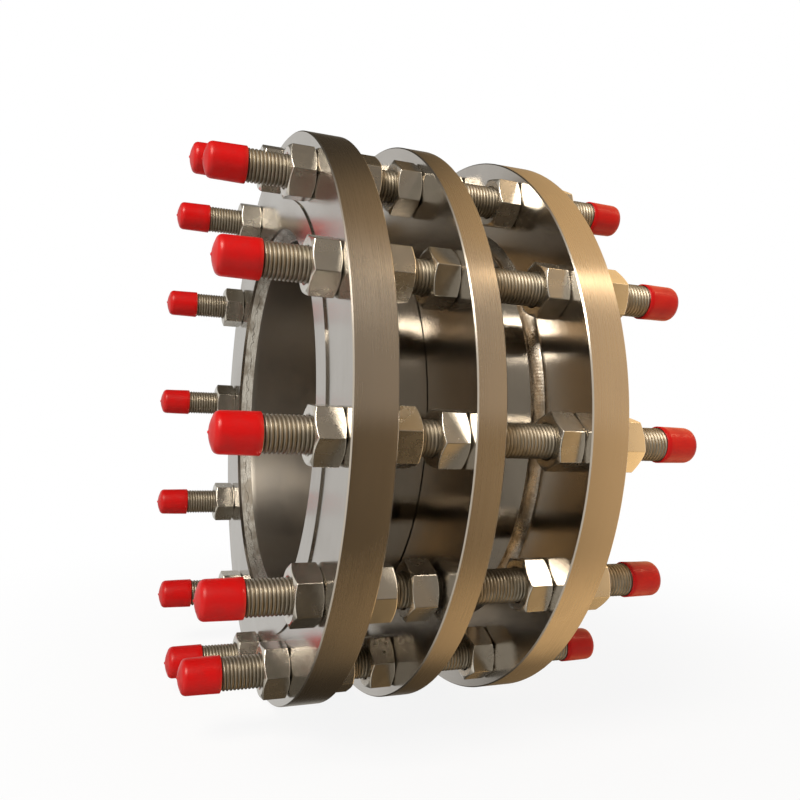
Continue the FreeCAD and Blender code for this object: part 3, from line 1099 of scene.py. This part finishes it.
@dataclass
class Studio:
    """The pale floor, the soft lights, the room that the steel mirrors, and the camera."""

    camera_place: Place = (-371.43, -738.03, 38.35)
    camera_right: Place = (0.93181155, -0.35863198, 0.05577041)
    camera_up: Place = (-0.04408667, 0.04068098, 0.99819909)
    camera_forward: Place = (0.36025491, 0.93259217, -0.02209612)
    lens: float = 34.105
    sensor: float = 36.0
    middle: Place = (-0.11, 0.0, 0.0)
    floor_reach: float = 4.0
    floor_gap: float = 0.0005
    floor_paint: Colour = (0.88, 0.88, 0.88)
    backdrop: Colour = (0.70, 0.695, 0.68)
    far_backdrop: Colour = (0.50, 0.48, 0.44)
    dusk: Colour = (0.07, 0.06, 0.05)
    soft_light: Colour = (0.23, 0.23, 0.23)
    room_colours: tuple[tuple[float, Colour], ...] = (
        (0.0, (0.85, 0.81, 0.74)), (0.2, (0.68, 0.64, 0.57)), (0.33, (0.2, 0.18, 0.15)),
        (0.42, (0.10, 0.09, 0.07)), (0.60, (0.075, 0.06, 0.042)), (0.66, (0.13, 0.095, 0.055)),
        (0.71, (0.50, 0.33, 0.16)), (0.76, (0.98, 0.64, 0.30)), (0.86, (1.5, 0.98, 0.47)),
        (0.91, (1.6, 1.1, 0.58)), (0.95, (1.0, 0.88, 0.74)), (1.0, (0.78, 0.76, 0.72)))
    wall_above: Colour = (0.25, 0.22, 0.185)
    wall_below: Colour = (0.035, 0.026, 0.016)
    shade: Colour = (0.02, 0.015, 0.01)

    def camera(self) -> None:
        """Set the camera at the photograph's place."""
        data = bpy.data.cameras.new("photo_camera")
        data.sensor_width = self.sensor
        data.lens = self.lens
        data.clip_start = 0.01
        item = linked("photo_camera", data)
        turn = Matrix((self.camera_right, self.camera_up, [-value for value in self.camera_forward]))
        item.matrix_world = Matrix.Translation(Vector(self.camera_place) * MM) @ turn.transposed().to_4x4()
        bpy.context.scene.camera = item

    def floor(self) -> None:
        """Lay the floor just under the rings, white where it is far and unseen by the steel."""
        reach, height = self.floor_reach, -RING_RADIUS * MM - self.floor_gap
        mesh = bpy.data.meshes.new("studio_floor")
        mesh.from_pydata([(-reach, -reach, height), (reach, -reach, height),
                          (reach, reach, height), (-reach, reach, height)], [], [(0, 1, 2, 3)])
        material = bpy.data.materials.new("studio_floor")
        material.use_nodes = True
        wires = Wiring(material.node_tree)
        paint = wires.node("BsdfDiffuse", {"Color": self.floor_paint})
        glow = wires.node("Emission", {"Color": WHITE})
        place = wires.node("TexCoord", {}).outputs["Object"]
        far = wires.node("VectorMath", {0: place}, operation="LENGTH").outputs["Value"]
        rays = wires.node("LightPath", {}).outputs
        share = wires.reckon(Step.TIMES, rays["Is Camera Ray"], wires.fade(far, 0.2, 0.8, 0.88, 1.0))
        mirrored = wires.reckon(Step.LARGER, rays["Is Glossy Ray"], rays["Is Transmission Ray"])
        seen = wires.mixed(share, paint, glow)
        whole = wires.mixed(mirrored, seen, wires.node("BsdfTransparent", {}))
        wires.node("OutputMaterial", {0: whole.outputs[0]})
        mesh.materials.append(material)
        linked("studio_floor", mesh)

    def mirrored_room(self, wires: Wiring) -> Socket:
        """What the steel mirrors: the white backdrop, and a dim room that is golden to the right.

        Args:
            wires: The world's wiring.

        Returns:
            The colour's socket.
        """
        look = wires.node("TexCoord", {}).outputs["Generated"]
        rightward, ahead, upward = wires.node("SeparateXYZ", {0: look}).outputs
        share = wires.reckon(Step.TIMES, wires.reckon(Step.PLUS, rightward, 1.0), 0.5)
        colour = wires.ramp(share, self.room_colours)
        wall = wires.blend(wires.fade(upward, -0.05, 0.15), self.wall_below, self.wall_above)
        near = wires.reckon(Step.TIMES, wires.fade(ahead, -0.1, -0.55, 0.0, 0.9),
                            wires.fade(rightward, 0.69, 0.53), wires.fade(rightward, 0.0, 0.15),
                            wires.fade(upward, -0.85, -0.6, 0.6, 1.0))
        colour = wires.blend(near, colour, wall)
        high = wires.reckon(Step.TIMES, wires.fade(ahead, 0.1, 0.5), wires.fade(upward, 0.3, 0.6),
                            wires.fade(rightward, 0.46, 0.36, 0.0, 0.5))
        low = wires.reckon(Step.TIMES, wires.fade(ahead, 0.15, 0.42),
                           wires.fade(upward, -0.3, -0.5, 0.0, 0.72))
        colour = wires.blend(wires.reckon(Step.LARGER, high, low), colour, self.shade)
        white = wires.blend(wires.fade(rightward, -0.1, 0.2), self.backdrop, self.far_backdrop)
        low_left = wires.reckon(Step.TIMES, wires.fade(rightward, -0.5, -0.4, 1.0, 0.0),
                                wires.fade(upward, -0.22, -0.08, 1.0, 0.0))
        white = wires.blend(low_left, white, self.dusk)
        behind = wires.reckon(Step.TIMES, wires.fade(ahead, 0.7, 0.87), wires.fade(upward, 0.5, 0.3))
        return wires.blend(behind, colour, white)

    def room(self) -> None:
        """Make the world: white for the camera, soft for plain surfaces, a room for the steel."""
        world = bpy.data.worlds.new("studio_room")
        bpy.context.scene.world = world
        world.use_nodes = True
        wires = Wiring(world.node_tree)
        room = wires.node("Background", {"Color": self.mirrored_room(wires)})
        soft = wires.node("Background", {"Color": self.soft_light})
        white = wires.node("Background", {"Color": WHITE})
        rays = wires.node("LightPath", {}).outputs
        seen = wires.reckon(Step.LARGER, rays["Is Camera Ray"], rays["Is Transmission Ray"])
        whole = wires.mixed(seen, wires.mixed(rays["Is Glossy Ray"], soft, room), white)
        wires.node("OutputWorld", {0: whole.outputs[0]})

    def lamp(self, name: str, place: Place, sides: tuple[float, float], power: float, colour: Colour) -> None:
        """Hang one soft oblong lamp that looks at the middle of the joint.

        Args:
            name: The lamp's name.
            place: Where it hangs, in metres.
            sides: Its two sides, in metres, the first along the pipe.
            power: Its power, in watts.
            colour: Its colour.
        """
        data = bpy.data.lights.new(name, "AREA")
        data.shape = "RECTANGLE"
        data.size, data.size_y = sides
        data.energy = power
        data.color = colour
        away = (Vector(place) - Vector(self.middle)).normalized()
        side = (Vector((1.0, 0.0, 0.0)) - away * away.x).normalized()
        turn = Matrix((side, away.cross(side), away)).transposed()
        linked(name, data).matrix_world = Matrix.Translation(Vector(place)) @ turn.to_4x4()

    def build(self) -> None:
        """Set up the whole studio."""
        self.camera()
        self.floor()
        self.room()
        self.lamp("ceiling_strip", (1.1, -0.72, 1.31), (0.8, 0.13), 2.1, (1.0, 0.74, 0.46))
        self.lamp("soft_key", (-1.3, -1.1, 1.5), (0.8, 0.8), 37.0, (1.0, 0.92, 0.80))
        bpy.context.scene.view_settings.view_transform = "Standard"


class DismantlingJoint:
    """All pieces of the joint, in the order in which it is put together."""

    def __init__(self) -> None:
        """List the pieces with their sizes and finishes."""
        self.rings = [
            DrilledRing("body_flange_ring", "body_flange", Body.BODY,
                        RingSteel("body_ring_steel"),
                        left=-35.0, right=-1.6, left_inner=192.2, right_inner=206.4,
                        bore_side=[(-27.0, 192.2), (-27.0, 181.0), (0.0, 181.0), (0.0, 206.4)]),
            DrilledRing("gland_flange_ring", "gland_ring", Body.GLAND,
                        RingSteel("gland_ring_steel"),
                        left=-130.5, right=-106.5, left_inner=179.2, right_inner=187.0,
                        bore_side=[(-102.3, 179.2), (-102.3, 187.0)]),
            DrilledRing("spigot_flange_ring", "spigot_flange", Body.SPIGOT,
                        RingSteel("spigot_ring_steel"),
                        left=-221.9, right=-188.5, left_inner=206.4, right_inner=179.6,
                        bore_side=[(-223.5, 206.4), (-223.5, 179.6)])]
        self.turned = [
            TurnedPart("body_sleeve", "body_tube", Body.BODY, Slot.PIPE,
                       PipeSteel("sleeve_steel", (0.52, 0.495, 0.46), (0.33, 0.31, 0.28), 0.1840),
                       [(-100.0, 188.0), (-100.0, 191.6), (-99.6, 192.0), (-27.0, 192.0),
                        (-27.0, 181.0), (-84.0, 181.0)]),
            TurnedPart("spigot_tube", "spigot_pipe", Body.SPIGOT, Slot.PIPE,
                       PipeSteel("tube_steel", (0.50, 0.465, 0.42), (0.235, 0.222, 0.205), 0.1700),
                       [(-209.9, 169.8), (-209.9, 177.8), (-23.0, 177.8), (-20.0, 174.8),
                        (-20.0, 168.3), (-204.4, 168.3)]),
            TurnedPart("wedge_seal", "wedge_gasket", Body.BODY, Slot.GASKET,
                       BlackRubber("seal_rubber", (0.018, 0.018, 0.019), (0.05, 0.05, 0.05)),
                       [(-102.0, 178.1), (-102.0, 187.7), (-100.0, 187.7), (-87.0, 182.0125),
                        (-87.0, 178.1)])]
        self.welds = [
            WeldBead("sleeve_weld", "body_weld", Body.BODY,
                     WeldSteel("sleeve_weld_metal", (0.44, 0.41, 0.37), (0.27, 0.245, 0.21), 0.1931,
                               seam_width=0.0011, seam_waver=0.0008),
                     start=(-43.3, 192.0), end=(-35.0, 200.3), root=(-35.0, 192.0), swell=0.4, seed=31),
            WeldBead("tube_back_weld", "spigot_back_weld", Body.SPIGOT,
                     WeldSteel("back_weld_metal", (0.52, 0.46, 0.37), (0.33, 0.25, 0.16), 0.1795),
                     start=(-188.5, 186.4), end=(-181.7, 177.8), root=(-188.5, 177.8), swell=0.4, seed=47),
            WeldBead("tube_bore_weld", "spigot_bore_weld", Body.SPIGOT,
                     WeldSteel("bore_weld_metal", (0.58, 0.56, 0.52), (0.34, 0.31, 0.27), 0.1755,
                               seam_waver=0.0014),
                     start=(-220.4, 179.6), end=(-209.9, 171.6), root=(-209.9, 179.6), swell=0.1,
                     seed=59)]
        rod_left, rod_right = span("stud_01")
        # the thread finish's second colour is the painted shade of the thread roots
        self.rods = StudRods(ThreadSteel("thread_steel", (0.405, 0.365, 0.30), (0.33, 0.29, 0.23)),
                             rod_left, rod_right)
        self.nut = HexNut()
        self.nut_finish = NutSteel("nut_steel", (0.74, 0.71, 0.65))
        self.nut_rows = [
            NutRow("spigot_front_nuts", "spigot_outer_nuts", Body.SPIGOT, -221.9, Facing.LEFT,
                   (59, 45, 55, 38, 43, 14, 30, 54, 1, 54, 4, 36)),
            NutRow("spigot_back_nuts", "spigot_inner_nuts", Body.SPIGOT, -188.5, Facing.RIGHT,
                   (44, 3, 35, 20, 49, 9, 28, 55, 16, 38, 22, 57)),
            NutRow("gland_drive_nuts", "gland_nuts", Body.GLAND, -130.5, Facing.LEFT,
                   (57, 21, 27, 44, 13, 57, 36, 25, 50, 6, 14, 42), {11: -3.0}),
            NutRow("body_back_nuts", "body_inner_nuts", Body.BODY, -35.0, Facing.LEFT,
                   (24, 41, 50, 53, 27, 40, 4, 47, 19, 34, 36, 11)),
            NutRow("body_front_nuts", "body_outer_nuts", Body.BODY, -1.6, Facing.RIGHT,
                   (10, 37, 23, 6, 45, 15, 51, 29, 2, 42, 31, 18))]
        left_tip, left_mouth = span("left_caps")
        right_mouth, _ = span("right_caps")
        self.cap = ThreadCap(left_mouth - left_tip)
        self.cap_finish = RedVinyl("red_vinyl", (0.68, 0.0035, 0.0035), (0.50, 0.003, 0.003))
        self.cap_rows = [CapRow("left_thread_caps", "left_caps", left_mouth, Facing.LEFT, 100),
                         CapRow("right_thread_caps", "right_caps", right_mouth, Facing.RIGHT, 200)]

    def build(self) -> None:
        """Build every piece."""
        for part in (*self.rings, *self.turned, *self.welds, self.rods):
            part.build()
        nut = self.nut.shape()
        nut_material = self.nut_finish.make()
        for row in self.nut_rows:
            row.build(nut, nut_material)
        cap_material = self.cap_finish.make()
        for row in self.cap_rows:
            row.build(self.cap, cap_material)


def main() -> None:
    """Build the studio and the joint, with each piece's face count logged."""
    logging.basicConfig(level=logging.INFO, format="%(name)s: %(message)s")
    Studio().build()
    DismantlingJoint().build()


if __name__ == "__main__":
    main()
